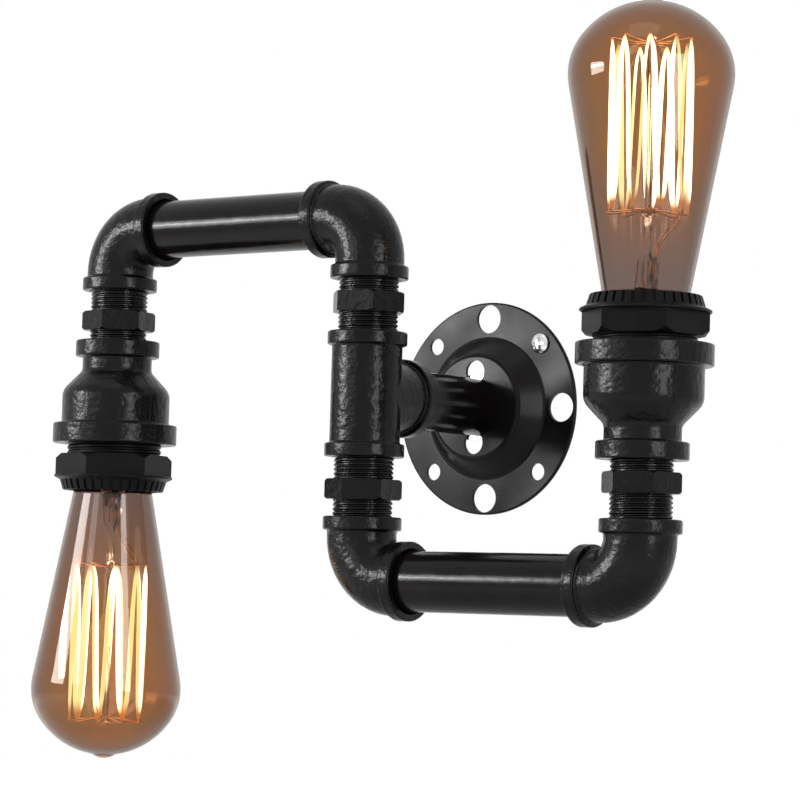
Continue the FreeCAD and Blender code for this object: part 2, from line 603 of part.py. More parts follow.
# ---------------------------------------------------------------- bulb
def bulb_outline(inset):
    """The body of revolution inside the bulb's wall, moved in by inset: cuff, cone, widest ring, dome."""
    side_r, shoulder_r = BULB_DOME_SIDE_R - inset, BULB_SHOULDER_R - inset
    widest = BULB_D / 2
    # the cone leaves the neck point and touches the shoulder arc; normal points out of the glass
    centre_r = widest - BULB_SHOULDER_R
    across, along = centre_r - BULB_NECK_R, BULB_WIDEST_AT - BULB_NECK_AT
    far = hypot(across, along)
    lean = atan2(across, along) + atan2(BULB_SHOULDER_R, sqrt(far ** 2 - BULB_SHOULDER_R ** 2))
    normal = vec(cos(lean), 0, -sin(lean))
    neck = vec(BULB_NECK_R, 0, BULB_NECK_AT)
    # the neck's arc is tangent to the cone and ends on the cuff
    cuff = vec(CAP_R - CAP_T - THREAD_GAP, 0, -CAP_SKIRT_DEPTH)
    chord = cuff - neck
    neck_r = -chord.Length ** 2 / (2 * chord.dot(normal))
    neck_centre = neck - normal * neck_r
    to_cuff = (cuff - neck_centre).normalize()
    between = (to_cuff + normal).normalize()
    start, middle, end = (neck_centre + way * (neck_r - inset) for way in (to_cuff, between, normal))
    cuff_low = -CAP_SKIRT_DEPTH - GLASS_CUFF_L
    section = Outline(0, cuff_low).line(cuff.x - inset, cuff_low).line(cuff.x - inset, start.z)
    section.line(start.x, start.z).arc((middle.x, middle.z), (end.x, end.z))
    touch, half = lean, lean / 2
    section.line(centre_r + shoulder_r * cos(touch), BULB_WIDEST_AT - shoulder_r * sin(touch))
    section.arc((centre_r + shoulder_r * cos(half), BULB_WIDEST_AT - shoulder_r * sin(half)),
                (widest - inset, BULB_WIDEST_AT))
    # the dome is two tangent arcs: one at the side, and a flatter crown centred on the axis
    side_at = widest - BULB_DOME_SIDE_R
    rise = BULB_TIP_AT - BULB_WIDEST_AT
    crown_r = (side_at ** 2 + rise ** 2 - BULB_DOME_SIDE_R ** 2) / (2 * (rise - BULB_DOME_SIDE_R))
    crown_at = BULB_TIP_AT - crown_r
    meet = atan2(BULB_WIDEST_AT - crown_at, side_at)
    section.arc((side_at + side_r * cos(meet / 2), BULB_WIDEST_AT + side_r * sin(meet / 2)),
                (side_at + side_r * cos(meet), BULB_WIDEST_AT + side_r * sin(meet)))
    crown_in = crown_r - inset
    nib = pi / 2 if inset else atan2(sqrt(crown_r ** 2 - BULB_NIB_R ** 2), BULB_NIB_R)
    middle = (meet + nib) / 2
    section.arc((crown_in * cos(middle), crown_at + crown_in * sin(middle)),
                (crown_in * cos(nib), crown_at + crown_in * sin(nib)))
    if not inset:
        section.dome(BULB_TIP_AT + BULB_NIB_H)
    return section.spin()


def bulb_glass():
    """The blown envelope, open at the cuff that stands in the cap."""
    return bulb_outline(0.0).cut(bulb_outline(GLASS_T))


def bulb_cap():
    """The brass cap: a screw skirt at its major diameter, turned in at its lower end."""
    top, low = -CAP_SKIRT_DEPTH, -CAP_SKIRT_DEPTH - CAP_THREAD_H
    rolled_r = CAP_R - CAP_TURN_IN
    return (Outline(CAP_R - CAP_T, top).line(CAP_R, top).line(CAP_R, low + CAP_T).line(rolled_r, low)
            .line(rolled_r - CAP_T, low + CAP_T).line(CAP_R - CAP_T, low + CAP_TURN_IN).spin())


def cap_insulator():
    """The dark glass cone that holds the contact in the cap's lower end."""
    low = -CAP_SKIRT_DEPTH - CAP_THREAD_H
    outer_r = CAP_R - CAP_TURN_IN - CAP_T - THREAD_GAP
    return (Outline(0, low + CAP_TURN_IN).line(outer_r, low + CAP_TURN_IN).line(outer_r, low)
            .line(CAP_CONTACT_R + CAP_T, low - CAP_CONE_H).line(0, low - CAP_CONE_H).spin())


def cap_contact():
    """The soldered contact button."""
    top = CAP_CONTACT_H - CONTACT_DEPTH
    return (Outline(0, top).line(CAP_CONTACT_R, top).line(CAP_CONTACT_R, top - CAP_CONTACT_RIM_H)
            .dome(-CONTACT_DEPTH).spin())


def bulb_stem():
    """The clear glass mount: flared foot, waist, pinch, centre rod and its two buttons."""
    foot_r = CAP_R - CAP_T - THREAD_GAP - GLASS_T - THREAD_GAP
    half = STEM_BUTTON_H / 2
    rise = STEM_WAIST_AT - STEM_FOOT_AT
    section = (Outline(0, STEM_FOOT_AT).line(foot_r, STEM_FOOT_AT).line(foot_r, STEM_FOOT_AT + STEM_LIP_H)
               .arc((STEM_WAIST_R + (foot_r - STEM_WAIST_R) * 0.3, STEM_FOOT_AT + rise * 0.4),
                    (STEM_WAIST_R, STEM_WAIST_AT))
               .line(STEM_PINCH_R, STEM_PINCH_AT - STEM_PINCH_R).line(STEM_PINCH_R, STEM_PINCH_AT)
               .line(STEM_ROD_R, STEM_PINCH_AT + STEM_PINCH_R - STEM_ROD_R))
    for centre in (CAGE_LOW_AT, CAGE_TOP_AT):
        section.line(STEM_ROD_R, centre - half).line(STEM_BUTTON_R, centre - half + STEM_BUTTON_EDGE)
        section.line(STEM_BUTTON_R, centre + half - STEM_BUTTON_EDGE).line(STEM_ROD_R, centre + half)
    return section.line(0, CAGE_TOP_AT + half).spin()


def bar(start, end, width):
    """A square bar between two points."""
    length = (end - start).Length
    prism = Part.makeBox(width, width, length)
    prism.translate(vec(-width / 2, -width / 2, 0))
    return facing(prism, start, end - start)


def around(radius, step, height):
    """A point of the cage: strand number step on a circle."""
    angle = 2 * pi * (step + 0.5) / CAGE_STRANDS
    return vec(radius * cos(angle), radius * sin(angle), height)


def filament():
    """One wire that runs up and down the cage: strands joined in turn at the top and at the bottom."""
    half = FILAMENT_W / 2
    solids = []
    for step in range(CAGE_STRANDS):
        solids.append(bar(around(CAGE_R, step, CAGE_LOW_AT - half), around(CAGE_R, step, CAGE_TOP_AT + half),
                          FILAMENT_W))
        level = CAGE_TOP_AT if step % 2 == 0 else CAGE_LOW_AT
        if step < CAGE_STRANDS - 1:
            solids.append(bar(around(CAGE_R, step, level), around(CAGE_R, step + 1, level), FILAMENT_W))
    return solids[0].fuse(solids[1:]).removeSplitter()


def filament_supports():
    """The two wire spiders on the stem's buttons, and the two lead wires from the pinch."""
    solids = []
    hub_r = STEM_BUTTON_R + THREAD_GAP
    chord_r = CAGE_R * cos(pi / CAGE_STRANDS) - FILAMENT_W / 2 - 2 * THREAD_GAP
    for level, first in ((CAGE_TOP_AT, 0.5), (CAGE_LOW_AT, 1.5)):
        spider = ring(hub_r + SUPPORT_W, hub_r, level - SUPPORT_W / 2, level + SUPPORT_W / 2)
        steps = [first + 2 * k for k in range((CAGE_STRANDS - int(first)) // 2)]
        arms = [bar(around(hub_r + SUPPORT_W / 2, step, level), around(chord_r, step, level), SUPPORT_W)
                for step in steps]
        solids.append(spider.fuse(arms))
    for step in (0, CAGE_STRANDS - 1):
        foot = around((STEM_ROD_R + STEM_PINCH_R) / 2 + SUPPORT_W, step, STEM_PINCH_AT + STEM_PINCH_R / 2)
        top = around(CAGE_R, step, CAGE_LOW_AT - FILAMENT_W - SUPPORT_W)
        solids.append(bar(foot, top, SUPPORT_W))
    return Part.makeCompound(solids)


# ---------------------------------------------------------------- assembly
def arm(grip, bare, turns):
    """Every piece of one arm, placed as the upper left arm. bare holds the four bare thread lengths
    from the tee to the reducer, and the one at the lampholder; turns holds the three hexagon angles."""
    axis = vec(0, -BRANCH_REACH, 0)
    nipple, reach = hex_nipple(bare[0], bare[1], turns[0])
    corner = axis + Z * (TEE_REACH + reach + ELBOW_REACH)
    span = ARM_PIPE_LENGTH + 2 * (ELBOW_REACH - grip)
    head_corner = corner - X * span
    head_nipple, head_reach = hex_nipple(bare[2], bare[3], turns[1])
    head = head_corner - Z * ELBOW_REACH
    reducer_face = head - Z * head_reach
    mouth = reducer_face - Z * (REDUCER_LENGTH + bare[4] + HOLDER_HEX_H + RING_H)
    inner_elbow = elbow().rotated(ORIGIN, Z, 180)
    inner_elbow.translate(corner)
    outer_elbow = elbow()
    outer_elbow.translate(head_corner)
    route = [axis + Z * TEE_REACH, corner, head_corner, mouth - Z * BLOCK_LOW]
    arm_pieces = {
        "swivel_hex_nipple": facing(nipple, axis + Z * TEE_REACH, Z),
        "inner_elbow": inner_elbow,
        "arm_pipe": facing(pipe_length(0, ARM_PIPE_LENGTH), corner - X * (ELBOW_REACH - grip), -X),
        "outer_elbow": outer_elbow,
        "head_hex_nipple": facing(head_nipple, head, -Z),
        "reducer": facing(reducer(), reducer_face, -Z),
        "lamp_cable": tube_path(route, CABLE_R, CABLE_TURN_R),
    }
    mouth_pieces = {
        "lampholder_body": lampholder_body(turns[2]), "lampholder_ring": lampholder_ring(),
        "contact_block": contact_block(), "screw_shell": screw_shell(),
        "centre_contact": centre_contact(), "terminal_screws": terminal_screws(),
        "bulb_glass": bulb_glass(), "bulb_cap": bulb_cap(), "cap_insulator": cap_insulator(),
        "cap_contact": cap_contact(), "bulb_stem": bulb_stem(), "filament": filament(),
        "filament_supports": filament_supports(),
    }
    for name, shape in mouth_pieces.items():
        arm_pieces[name] = facing(shape, mouth, -Z)
    return arm_pieces


def build():
    """All the pieces by node name."""
    pieces = {
        "wall_flange": wall_flange(), "flange_screw": flange_screw(), "branch_nipple": branch_nipple(),
        "earth_tag": earth_tag(), "branch_locknut": branch_locknut(), "cable_bush": cable_bush(),
        "supply_cables": supply_cables(), "tee": tee(),
    }
    left = arm(UPPER_PIPE_GRIP, (UPPER_BARE_AT_TEE, UPPER_BARE_AT_ELBOW, LEFT_BARE_AT_ELBOW,
                                 LEFT_BARE_AT_REDUCER, LEFT_HOLDER_BARE),
               (UPPER_HEX_TURN, LEFT_HEX_TURN, LEFT_HOLDER_TURN))
    right = arm(LOWER_PIPE_GRIP, (LOWER_BARE_AT_TEE, LOWER_BARE_AT_ELBOW, RIGHT_BARE_AT_ELBOW,
                                  RIGHT_BARE_AT_REDUCER, RIGHT_HOLDER_BARE),
                (LOWER_HEX_TURN, RIGHT_HEX_TURN, RIGHT_HOLDER_TURN))
    for name, shape in left.items():
        pieces["left_" + name] = shape
    for name, shape in right.items():
        pieces["right_" + name] = half_turn(shape)
    return pieces


os.makedirs("parts", exist_ok=True)
for node, solid in build().items():
    solid.exportStep("parts/%s.step" % node)
    print("%-28s %d solid(s) %10.1f mm3 valid %s" % (node, len(solid.Solids), solid.Volume, solid.isValid()))
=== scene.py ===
# %% [markdown]
# An industrial pipe wall light. A pressed flange carries a tee on a short branch pipe, and two arms of
# screwed pipe fittings turn on the tee. Each arm ends in a plastic lampholder with a squirrel-cage bulb.
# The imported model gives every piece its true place, so this script adds what a maker would call the
# finish: the cut threads, the glowing wires, the paint, the glass and the light of a small studio.
# Everything is in metres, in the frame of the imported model: +Y into the wall and +Z up.

# %% Load the frame
import json
from math import atan2, cos, pi, radians, sin

import bmesh
import bpy
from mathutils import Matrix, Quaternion, Vector


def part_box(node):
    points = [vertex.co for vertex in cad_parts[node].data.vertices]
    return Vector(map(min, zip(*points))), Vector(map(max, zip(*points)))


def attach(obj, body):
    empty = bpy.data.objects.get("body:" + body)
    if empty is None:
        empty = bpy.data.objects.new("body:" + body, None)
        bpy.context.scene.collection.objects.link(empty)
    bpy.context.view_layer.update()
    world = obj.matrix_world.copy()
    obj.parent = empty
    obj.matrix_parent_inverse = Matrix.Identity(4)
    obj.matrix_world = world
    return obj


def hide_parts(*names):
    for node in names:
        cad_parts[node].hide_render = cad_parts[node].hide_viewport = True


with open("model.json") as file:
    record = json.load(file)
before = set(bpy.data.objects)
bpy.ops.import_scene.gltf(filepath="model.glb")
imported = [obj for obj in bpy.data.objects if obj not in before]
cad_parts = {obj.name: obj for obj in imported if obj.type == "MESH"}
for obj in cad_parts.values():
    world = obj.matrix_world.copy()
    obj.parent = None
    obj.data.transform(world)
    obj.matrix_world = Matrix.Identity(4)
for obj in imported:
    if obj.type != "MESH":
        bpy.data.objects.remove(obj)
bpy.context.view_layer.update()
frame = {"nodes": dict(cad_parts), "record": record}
NODES = frame["nodes"]
MM = 0.001
UP = Vector((0, 0, 1))

# %% [markdown]
# A shader tree can be written like a sum on paper. `Value` wraps one output of a node, and an operator
# between two of them, or between one and a number, adds the Math node that works it out. `Shades` owns
# a tree. Its `node` method makes every node: the settings go in first, because they decide which
# sockets exist, and then the sockets get a number, a colour or a link. Colours never pass through a
# Math node, which would turn them grey: `mix` blends them.

# %% Values and shades
class Value:
    """One output socket, with Python's operators for Math nodes."""

    def __init__(self, shades, socket):
        self.shades = shades
        self.socket = socket

    def work(self, operation, first, second):
        """The Math node of one operation on two values."""
        return self.shades.node("ShaderNodeMath", {"operation": operation}, {0: first, 1: second})

    def __add__(self, other):
        return self.work("ADD", self, other)

    def __radd__(self, other):
        return self.work("ADD", other, self)

    def __sub__(self, other):
        return self.work("SUBTRACT", self, other)

    def __rsub__(self, other):
        return self.work("SUBTRACT", other, self)

    def __mul__(self, other):
        return self.work("MULTIPLY", self, other)

    def __rmul__(self, other):
        return self.work("MULTIPLY", other, self)

    def __abs__(self):
        return self.work("ABSOLUTE", self, 0.0)


class Shades:
    """A node tree that starts empty and grows by one method."""

    def __init__(self, tree):
        self.tree = tree
        tree.nodes.clear()

    def node(self, kind, settings, sockets, output=0):
        """A node of any kind: its settings first, then the numbers, colours or links of its sockets."""
        made = self.tree.nodes.new(kind)
        for name, setting in settings.items():
            setattr(made, name, setting)
        for key, value in sockets.items():
            if isinstance(value, Value):
                self.tree.links.new(value.socket, made.inputs[key])
            else:
                made.inputs[key].default_value = value
        return Value(self, made.outputs[output]) if made.outputs else None

    def ramp(self, value, low, high):
        """Stretches the part of a value between low and high to the whole range from 0 to 1."""
        return self.node("ShaderNodeMapRange", {"clamp": True}, {0: value, 1: low, 2: high, 3: 0.0, 4: 1.0})

    def mix(self, mask, first, second):
        """A colour between two others, where mask is 0 and where it is 1."""
        return self.node("ShaderNodeMix", {"data_type": "RGBA"}, {0: mask, 6: first, 7: second}, 2)

    def seen_straight(self):
        """1 for a ray from the camera, off gloss or through glass, 0 for plain light."""
        rays = [self.node("ShaderNodeLightPath", {}, {}, "Is %s Ray" % kind)
                for kind in ("Camera", "Glossy", "Transmission")]
        return self.ramp(rays[0] + rays[1] + rays[2], 0.0, 1.0)


class Finish(Shades):
    """One procedural material on Object coordinates."""

    def __init__(self, name):
        self.material = bpy.data.materials.new(name)
        self.material.use_nodes = True
        super().__init__(self.material.node_tree)
        self.place = self.node("ShaderNodeTexCoord", {}, {}, "Object")

    def shader(self, **sockets):
        """A surface shader, with _ for the spaces in its sockets' names."""
        named = {name.replace("_", " "): value for name, value in sockets.items()}
        return self.node("ShaderNodeBsdfPrincipled", {}, named)

    def shown(self, shader):
        """Gives the material its shader."""
        self.node("ShaderNodeOutputMaterial", {}, {"Surface": shader})
        return self.material

    def surface(self, **sockets):
        """Makes the whole material of one surface shader."""
        return self.shown(self.shader(**sockets))

    def noise(self, scale, detail, upright=1.0):
        """Smooth noise from 0 to 1; scale is in lumps to the metre, and a small upright draws them out."""
        place = self.place
        if upright != 1.0:
            place = self.node("ShaderNodeVectorMath", {"operation": "MULTIPLY"},
                              {0: place, 1: (1, 1, upright)})
        return self.node("ShaderNodeTexNoise", {"noise_dimensions": "3D"},
                         {"Vector": place, "Scale": scale, "Detail": detail})

    def bump(self, height, depth):
        """A normal for relief of a real depth, in metres."""
        return self.node("ShaderNodeBump", {}, {"Height": height, "Strength": 1.0, "Distance": depth})

    def off_centre(self):
        """How far a point is above or below the middle of the whole light, in metres."""
        return abs(self.node("ShaderNodeSeparateXYZ", {}, {0: self.place}, "Z"))


def rgb(red, green, blue):
    """A colour for a socket, as three shares of full light."""
    return red, green, blue, 1.0


# %% [markdown]
# The cast fittings are malleable iron under thick gloss paint. The paint hides the grain of the sand
# but not its lumps, so the highlights break into sparks. One material could be flat black with a noisy
# roughness, but then the sparks would not catch the light from one side, as real lumps do. So two sizes
# of noise make a bump: soft lumps about four millimetres apart and pits about two apart.

# %% Painted castings
def painted_casting():
    finish = Finish("painted_casting")
    lumps, pits = finish.noise(230.0, 1.5), finish.noise(560.0, 2.0)
    thin = finish.ramp(finish.noise(70.0, 4.0), 0.40, 0.75)
    colour = finish.mix(thin, rgb(0.0036, 0.0029, 0.0030), rgb(0.0080, 0.0064, 0.0064))
    return finish.surface(Base_Color=colour, Roughness=0.15 + pits * 0.20, Specular_IOR_Level=0.15,
                          Normal=finish.bump(lumps * 0.62 + pits * 0.38, 0.52 * MM))


# %% [markdown]
# The arm pipes are drawn tube with the same black on a smooth skin, so their highlights are long soft
# bands. A faint noise stands for the brush marks and for the thin places in the paint.

# %% Painted pipe
def painted_pipe():
    finish = Finish("painted_pipe")
    marks = finish.noise(160.0, 3.0)
    thin = finish.ramp(finish.noise(45.0, 4.0), 0.40, 0.70)
    colour = finish.mix(thin, rgb(0.0036, 0.0028, 0.0027), rgb(0.0080, 0.0062, 0.0058))
    return finish.surface(Base_Color=colour, Roughness=0.10 + marks * 0.14, Specular_IOR_Level=0.15,
                          Normal=finish.bump(marks, 0.10 * MM))


# %% [markdown]
# The flange is pressed from sheet. The press leaves it very slightly wavy, which a mirror would show and
# a soft gloss shows as light and dark areas that change across the rim. So its bump has one slow wave
# besides the fine skin of the paint.

# %% Painted sheet steel
def painted_steel():
    finish = Finish("painted_steel")
    wave, skin = finish.noise(22.0, 1.0), finish.noise(800.0, 1.0)
    thin = finish.ramp(finish.noise(60.0, 4.0), 0.35, 0.70)
    colour = finish.mix(thin, rgb(0.0060, 0.0056, 0.0066), rgb(0.0120, 0.0112, 0.0125))
    return finish.surface(Base_Color=colour, Roughness=0.20 + thin * 0.10, Specular_IOR_Level=0.105,
                          Normal=finish.bump(wave * 0.995 + skin * 0.005, 2.2 * MM))


# %% [markdown]
# The lampholders are moulded plastic. It is the same black, but its sheen comes from a fine even grain
# that the mould leaves, so the bump is small and dense, and the highlights are wide and dull.

# %% Moulded plastic and rubber
def moulded_black():
    finish = Finish("black_plastic")
    grain = finish.noise(1700.0, 2.0)
    rubbed = finish.ramp(finish.noise(80.0, 3.0), 0.40, 0.70)
    colour = finish.mix(rubbed, rgb(0.0055, 0.0048, 0.0056), rgb(0.0095, 0.0085, 0.0095))
    return finish.surface(Base_Color=colour, Roughness=0.30 + grain * 0.18, Specular_IOR_Level=0.08,
                          Normal=finish.bump(grain, 0.06 * MM))


def cable_rubber():
    finish = Finish("cable_jacket")
    grain = finish.noise(1200.0, 2.0)
    return finish.surface(Base_Color=finish.mix(grain, rgb(0.010, 0.010, 0.010), rgb(0.018, 0.018, 0.018)),
                          Roughness=0.55 + grain * 0.15)


# %% [markdown]
# Brass, zinc, solder and the drawn wires are bare metals. Each has one colour where it is bright and a
# duller one where it is tarnished, and the tarnish is rougher. A single function makes them all.

# %% Bare metals
def bare_metal(name, bright, tarnished, roughness):
    finish = Finish(name)
    tarnish = finish.ramp(finish.noise(350.0, 4.0), 0.45, 0.75)
    return finish.surface(Base_Color=finish.mix(tarnish, bright, tarnished), Metallic=1.0,
                          Roughness=roughness + tarnish * 0.15, Normal=finish.bump(tarnish, 0.02 * MM))


# %% [markdown]
# Steatite is the white ceramic that carries the screw shell, and the bulb's cap holds its contact in
# dark vitrite glass. Both are glazed, so a noise only clouds the colour and the gloss.

# %% Ceramic and vitrite
def glazed(name, low, high):
    finish = Finish(name)
    cloud = finish.noise(250.0, 3.0)
    return finish.surface(Base_Color=finish.mix(cloud, low, high), Roughness=0.14 + cloud * 0.12)


# %% [markdown]
# The bulbs are blown from amber glass. Where the wall is thick, towards the crown, it is brown, and the
# drawn neck is thinner and greyer. A volume could colour the light by its path, but the export can't
# carry one, so the tint is the surface's colour. It follows the height above the light's middle, which
# serves both bulbs because the lower half of the light is the upper half turned over. Light that leaves
# a wall at a slant has gone through more of it, so the tint is deeper there, and at the very edge of the
# bulb a dark surface takes over from the glass by three quarters.

# %% Glass
NECK_AT, CROWN_AT, CLOUD_H = 0.052, 0.100, 0.02
TINT_FROM, TINT_TO = 0.25, 0.85
EDGE_FROM, EDGE_TO, EDGE_SHARE = 0.70, 0.94, 0.75


def amber_glass():
    finish = Finish("amber_glass")
    brown = finish.ramp(finish.off_centre() + finish.noise(18.0, 2.0) * CLOUD_H, NECK_AT, CROWN_AT)
    olive = finish.ramp(finish.noise(26.0, 2.0), 0.40, 0.62)
    body = finish.mix(olive, rgb(0.53, 0.305, 0.165), rgb(0.50, 0.325, 0.165))
    slant = finish.node("ShaderNodeLayerWeight", {}, {"Blend": 0.5}, "Facing")
    straight = finish.mix(brown, rgb(0.39, 0.31, 0.285), body)
    tint = finish.mix(finish.ramp(slant, TINT_FROM, TINT_TO), straight, rgb(0.120, 0.062, 0.038))
    glass = finish.shader(Base_Color=tint, Roughness=0.0, Transmission_Weight=1.0, IOR=1.38,
                          Specular_IOR_Level=0.20)
    dark = finish.shader(Base_Color=rgb(0.100, 0.055, 0.035), Roughness=0.25, Specular_IOR_Level=0.05)
    edge = finish.ramp(slant, EDGE_FROM, EDGE_TO) * EDGE_SHARE
    return finish.shown(finish.node("ShaderNodeMixShader", {}, {0: edge, 1: glass, 2: dark}))


def clear_glass():
    finish = Finish("clear_glass")
    cloud = finish.noise(90.0, 2.0)
    return finish.surface(Base_Color=finish.mix(cloud, rgb(0.93, 0.89, 0.84), rgb(0.98, 0.96, 0.93)),
                          Roughness=0.01 + cloud * 0.03, Transmission_Weight=1.0, IOR=1.5)


# %% [markdown]
# The filament is a carbon wire that glows. Most of its long strands are white hot, and a noise drawn out
# upwards picks whole strands that glow less, which the amber glass shows yellow. The wire is cooler and
# orange at both ends, where the hooks carry the heat away. The ends of both cages lie at the same heights
# above and below the light's middle, so the same measure finds them.

# %% Glowing wire
CAGE_MIDDLE, CAGE_HALF = 0.1027, 0.033
COOL_FROM, COOL_TO = CAGE_HALF - 0.006, CAGE_HALF - 0.001
YELLOW_FROM, YELLOW_TO = 0.50, 0.56


def glowing_filament():
    finish = Finish("glowing_filament")
    from_middle = abs(finish.off_centre() - CAGE_MIDDLE)
    cool = finish.ramp(from_middle, COOL_FROM, COOL_TO)
    yellow = finish.ramp(finish.noise(95.0, 1.0, upright=0.02), YELLOW_FROM, YELLOW_TO)
    hot = finish.mix(yellow, rgb(1.0, 1.0, 0.95), rgb(0.22, 0.27, 0.19))
    glow = finish.mix(cool, hot, rgb(0.105, 0.052, 0.014))
    return finish.surface(Base_Color=rgb(0.25, 0.12, 0.05), Roughness=0.6,
                          Emission_Color=glow, Emission_Strength=9.0)


# %% [markdown]
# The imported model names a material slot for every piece. Each slot gets its finish here, once, so the
# pieces that share a slot share the finish, and the new pieces further down take theirs from this list.

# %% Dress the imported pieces
FINISHES = {
    "painted_casting": painted_casting(), "painted_pipe": painted_pipe(), "painted_steel": painted_steel(),
    "black_plastic": moulded_black(), "cable_jacket": cable_rubber(),
    "amber_glass": amber_glass(), "clear_glass": clear_glass(), "glowing_filament": glowing_filament(),
    "ceramic": glazed("ceramic", rgb(0.72, 0.70, 0.65), rgb(0.80, 0.78, 0.74)),
    "black_glass": glazed("dark_glass", rgb(0.006, 0.006, 0.008), rgb(0.014, 0.012, 0.016)),
    "zinc_steel": bare_metal("zinc_steel", rgb(0.74, 0.74, 0.76), rgb(0.50, 0.50, 0.52), 0.20),
    "brass": bare_metal("brass", rgb(0.82, 0.62, 0.28), rgb(0.55, 0.38, 0.16), 0.20),
    "solder": bare_metal("solder", rgb(0.62, 0.62, 0.63), rgb(0.38, 0.38, 0.38), 0.32),
    "support_wire": bare_metal("support_wire", rgb(0.85, 0.47, 0.24), rgb(0.55, 0.29, 0.13), 0.28),
}
for part in frame["record"]["subparts"]:
    mesh = NODES[part["node"]].data
    mesh.materials.clear()
    mesh.materials.append(FINISHES[part["material_slot"]])
print("finishes:", len(FINISHES))

# %% [markdown]
# Every new piece ends in the same way: its bmesh becomes a mesh at the origin, it gets its finish, it
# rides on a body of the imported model, and its faces are smooth up to a sharp edge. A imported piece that
# changes shape is copied first. The copy's triangles are loose, so its doubles are merged.

# %% Piece helpers
WELD = 1e-6
SKIN_WITHIN = 0.04 * MM


def settle(piece, body, slot, replaced, sharp):
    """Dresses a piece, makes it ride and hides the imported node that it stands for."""
    piece.data.materials.append(FINISHES[slot])
    piece.data.shade_smooth()
    piece.data.set_sharp_from_angle(angle=radians(sharp))
    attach(piece, body)
    if replaced:
        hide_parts(replaced)
    print("%-32s %6d faces" % (piece.name, len(piece.data.polygons)))
    return piece


def finished(bm, name, body, slot, replaced=None, sharp=35):
    """A bmesh as a finished piece."""
    mesh = bpy.data.meshes.new(name)
    bm.to_mesh(mesh)
    bm.free()
    for packed in [layer for layer in mesh.attributes if layer.name == "custom_normal"]:
        mesh.attributes.remove(packed)
    piece = bpy.data.objects.new(name, mesh)
    bpy.context.scene.collection.objects.link(piece)
    return settle(piece, body, slot, replaced, sharp)


def merged_copy(node):
    """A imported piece's mesh in a new bmesh, with its loose triangles joined."""
    bm = bmesh.new()
    bm.from_mesh(NODES[node].data)
    bmesh.ops.remove_doubles(bm, verts=bm.verts, dist=WELD)
    return bm


def middle_of(node):
    """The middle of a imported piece's box, and half its height."""
    low, high = (Vector(corner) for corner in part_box(node))
    return (low + high) / 2, (high.z - low.z) / 2


def from_axis(vert, axis):
    """A vertex's offset from a vertical axis, level with it."""
    return Vector((vert.co.x - axis.x, vert.co.y - axis.y, 0))


def move_skin(bm, axis, radius, new_radius):
    """Moves the skin that lies at one radius from a vertical axis to another radius."""
    for vert in bm.verts:
        out = from_axis(vert, axis)
        if abs(out.length - radius) < SKIN_WITHIN:
            vert.co += out.normalized() * (new_radius - radius)


# %% [markdown]
# A pipe thread shows as three or four turns between each hexagon and its fitting, and every turn
# catches the light. A texture would leave the outline straight, and a Screw modifier winds about an
# object's own axis, which here has to stay at the origin. The spin operator takes a centre and a rise
# for each step, so it winds a ridge in place: a V with a flat crest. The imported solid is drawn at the
# thread's crest, so a copy of it first shrinks to the root. Each ridge starts a little inside its hexagon,
# and it stands in the root by a small depth, so that no gap shows along its foot.

# %% Cut threads
RIDGE_SUNK, RIDGE_FOOT, RIDGE_TOP = 0.3 * MM, 0.62, 0.13
THREAD_IN = 1.0 * MM


def wind_ridge(bm, axis, low, high, root, crest, pitch, steps=36):
    """Winds a closed V ridge round a vertical axis, from the height low to the height high."""
    sunk = root - RIDGE_SUNK
    foot, top = RIDGE_FOOT * pitch, RIDGE_TOP * pitch
    corners = ((sunk, -foot), (crest, -top), (crest, top), (sunk, foot))
    section = [bm.verts.new((axis.x + out, axis.y, low + rise)) for out, rise in corners]
    sides = [bm.edges.new((section[k], section[k - 1])) for k in range(len(section))]
    turns = (high - low) / pitch
    count = round(turns * steps)
    bmesh.ops.spin(bm, geom=section + sides, cent=(axis.x, axis.y, 0), axis=UP, angle=2 * pi * turns,
                   dvec=UP * ((high - low) / count), steps=count, use_merge=False)
    ends = [edge for edge in bm.edges if edge.is_boundary]
    bmesh.ops.holes_fill(bm, edges=ends, sides=4)


PIPE_CREST, PIPE_ROOT, PIPE_PITCH = 12.2 * MM, 11.6 * MM, 1.814 * MM
NIPPLE_HEX_HALF, NIPPLE_END = 4.1 * MM, 1.4 * MM


def threaded_nipple(node, body):
    """A hex nipple with both of its male threads cut."""
    centre, half = middle_of(node)
    bm = merged_copy(node)
    move_skin(bm, centre, PIPE_CREST, PIPE_ROOT)
    for low, high in ((centre.z - half + NIPPLE_END, centre.z - NIPPLE_HEX_HALF + THREAD_IN),
                      (centre.z + NIPPLE_HEX_HALF - THREAD_IN, centre.z + half - NIPPLE_END)):
        wind_ridge(bm, centre, low, high, PIPE_ROOT, PIPE_CREST, PIPE_PITCH)
    bmesh.ops.recalc_face_normals(bm, faces=bm.faces)
    return finished(bm, node + "_cut", body, "painted_casting", node, sharp=30)


for side in ("left", "right"):
    for nipple in ("swivel_hex_nipple", "head_hex_nipple"):
        threaded_nipple("%s_%s" % (side, nipple), side + "_arm")

# %% [markdown]
# The lampholder's body has the same kind of thread, coarser and moulded in plastic. Only a narrow
# stretch shows above the reducer.

# %% Lampholder threads
HOLDER_CREST, HOLDER_ROOT, HOLDER_PITCH = 20.2 * MM, 19.6 * MM, 2.3 * MM
HOLDER_HEX_H, HOLDER_END = 9.0 * MM, 1.5 * MM
BULB_WAY = {"left": -1, "right": 1}


